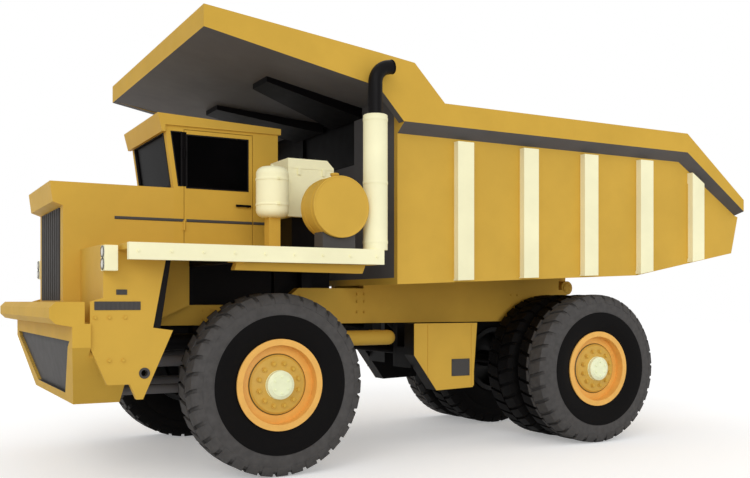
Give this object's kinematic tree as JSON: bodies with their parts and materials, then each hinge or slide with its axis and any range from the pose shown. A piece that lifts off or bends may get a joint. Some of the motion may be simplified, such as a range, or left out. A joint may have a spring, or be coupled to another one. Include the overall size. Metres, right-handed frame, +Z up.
{
  "type": "rigid haul dump truck",
  "caption": "Rigid-frame off-road dump truck with a tipping body, cab canopy, narrow hood, fender decks, dual rear wheels and telescopic hoists.",
  "frame": {"origin": "on the ground, on the centreline, halfway along the truck", "axes": "+X forward, +Y to the truck's left, +Z up"},
  "size_m": [9.96, 4.88, 5.1099],
  "materials": {
    "yellow_paint": "satin",
    "cream_paint": "satin",
    "dark_paint": "matt",
    "black_paint": "matt",
    "steel": "ground",
    "cast": "cast",
    "tyre": "moulded",
    "rim_paint": "satin",
    "tinted_glass": "gloss",
    "trim": "moulded"
  },
  "bodies": {
    "chassis": {"air_cleaners": "cream_paint", "cab_glass": "tinted_glass", "cab_roof": "yellow_paint", "cab_seat": "trim", "cab_shell": "yellow_paint", "deck_boxes": "cream_paint", "deck_edges": "cream_paint", "deck_tanks": "yellow_paint", "drive_shaft": "steel", "engine_block": "cast", "exhaust_stacks": "cream_paint", "fender_decks": "yellow_paint", "front_axle": "cast", "front_bumper": "yellow_paint", "grille": "dark_paint", "head_lamps": "cream_paint", "hood": "yellow_paint", "main_frame": "yellow_paint", "rear_axle": "cast", "side_aprons": "yellow_paint", "side_tanks": "yellow_paint", "side_tubes": "yellow_paint", "steering_wheel": "trim", "suspension_struts": "steel", "transmission": "cast"},
    "left_door": {"door_left": "yellow_paint", "door_glass_left": "tinted_glass"},
    "left_knuckle": {"knuckle_left": "cast"},
    "left_front_wheel": {"front_rim_left": "rim_paint", "front_tyre_left": "tyre"},
    "left_rear_wheels": {"rear_rims_left": "rim_paint", "rear_tyres_left": "tyre"},
    "left_hoist_barrel": {"hoist_barrel_left": "black_paint"},
    "left_hoist_stage": {"hoist_stage_left": "steel"},
    "left_hoist_rod": {"hoist_rod_left": "steel"},
    "right_door": {"door_right": "yellow_paint", "door_glass_right": "tinted_glass"},
    "right_knuckle": {"knuckle_right": "cast"},
    "right_front_wheel": {"front_rim_right": "rim_paint", "front_tyre_right": "tyre"},
    "right_rear_wheels": {"rear_rims_right": "rim_paint", "rear_tyres_right": "tyre"},
    "right_hoist_barrel": {"hoist_barrel_right": "black_paint"},
    "right_hoist_stage": {"hoist_stage_right": "steel"},
    "right_hoist_rod": {"hoist_rod_right": "steel"},
    "track_rod": {"tie_rod": "steel"},
    "dump_body": {"body_canopy": "yellow_paint", "body_floor": "yellow_paint", "body_front_wall": "dark_paint", "body_rails": "yellow_paint", "body_ribs": "cream_paint", "body_sides": "yellow_paint", "canopy_stiffeners": "black_paint"}
  },
  "joints": [
    {"name": "left_door_hinge", "type": "hinge", "parent": "chassis", "child": "left_door", "pos_m": [3.2535, 0.814, 3.3], "axis": [0, 0, -1], "range_deg": [0, 70]},
    {"name": "left_kingpin", "type": "hinge", "parent": "chassis", "child": "left_knuckle", "pos_m": [2.51, 1.25, 1.03], "axis": [0, 0, 1], "range_deg": [-35, 35]},
    {"name": "left_front_axle_spin", "type": "hinge", "parent": "left_knuckle", "child": "left_front_wheel", "pos_m": [2.51, 1.735, 1.03], "axis": [0, 1, 0], "continuous": true},
    {"name": "left_rear_axle_spin", "type": "hinge", "parent": "chassis", "child": "left_rear_wheels", "pos_m": [-2.33, 1.21, 1.03], "axis": [0, 1, 0], "continuous": true},
    {"name": "right_door_hinge", "type": "hinge", "parent": "chassis", "child": "right_door", "pos_m": [3.2535, -0.814, 3.3], "axis": [0, 0, 1], "range_deg": [0, 70]},
    {"name": "right_kingpin", "type": "hinge", "parent": "chassis", "child": "right_knuckle", "pos_m": [2.51, -1.25, 1.03], "axis": [0, 0, 1], "range_deg": [-35, 35]},
    {"name": "right_front_axle_spin", "type": "hinge", "parent": "right_knuckle", "child": "right_front_wheel", "pos_m": [2.51, -1.735, 1.03], "axis": [0, 1, 0], "continuous": true},
    {"name": "right_rear_axle_spin", "type": "hinge", "parent": "chassis", "child": "right_rear_wheels", "pos_m": [-2.33, -1.21, 1.03], "axis": [0, 1, 0], "continuous": true},
    {"name": "track_rod_pivot", "type": "hinge", "parent": "left_knuckle", "child": "track_rod", "pos_m": [2.06, 1.25, 0.7], "axis": [0, 0, 1], "range_deg": [-35, 35]},
    {"name": "body_hinge", "type": "hinge", "parent": "chassis", "child": "dump_body", "pos_m": [-2.89, 0, 2.17], "axis": [0, -1, 0], "range_deg": [0, 55]},
    {"name": "left_hoist_foot", "type": "hinge", "parent": "chassis", "child": "left_hoist_barrel", "pos_m": [-0.99, 0.2, 1], "axis": [0, -1, 0], "range_deg": [0, 49.77]},
    {"name": "left_hoist_first_stage", "type": "slide", "parent": "left_hoist_barrel", "child": "left_hoist_stage", "axis": [0.7433, 0, 0.669], "range_m": [0, 1.032]},
    {"name": "left_hoist_second_stage", "type": "slide", "parent": "left_hoist_stage", "child": "left_hoist_rod", "axis": [0.7433, 0, 0.669], "range_m": [0, 1.032]},
    {"name": "right_hoist_foot", "type": "hinge", "parent": "chassis", "child": "right_hoist_barrel", "pos_m": [-0.99, -0.2, 1], "axis": [0, -1, 0], "range_deg": [0, 49.77]},
    {"name": "right_hoist_first_stage", "type": "slide", "parent": "right_hoist_barrel", "child": "right_hoist_stage", "axis": [0.7433, 0, 0.669], "range_m": [0, 1.032]},
    {"name": "right_hoist_second_stage", "type": "slide", "parent": "right_hoist_stage", "child": "right_hoist_rod", "axis": [0.7433, 0, 0.669], "range_m": [0, 1.032]}
  ],
  "couplings": [
    {"joint": "left_hoist_foot", "follows": "body_hinge", "ratio": 0.88668},
    {"joint": "left_hoist_first_stage", "follows": "body_hinge", "m_per_rad": 1.0645},
    {"joint": "left_hoist_second_stage", "follows": "body_hinge", "m_per_rad": 1.0645},
    {"joint": "right_hoist_foot", "follows": "body_hinge", "ratio": 0.88668},
    {"joint": "right_hoist_first_stage", "follows": "body_hinge", "m_per_rad": 1.0645},
    {"joint": "right_hoist_second_stage", "follows": "body_hinge", "m_per_rad": 1.0645},
    {"joint": "right_kingpin", "follows": "left_kingpin", "ratio": 1},
    {"joint": "track_rod_pivot", "follows": "left_kingpin", "ratio": -1}
  ]
}
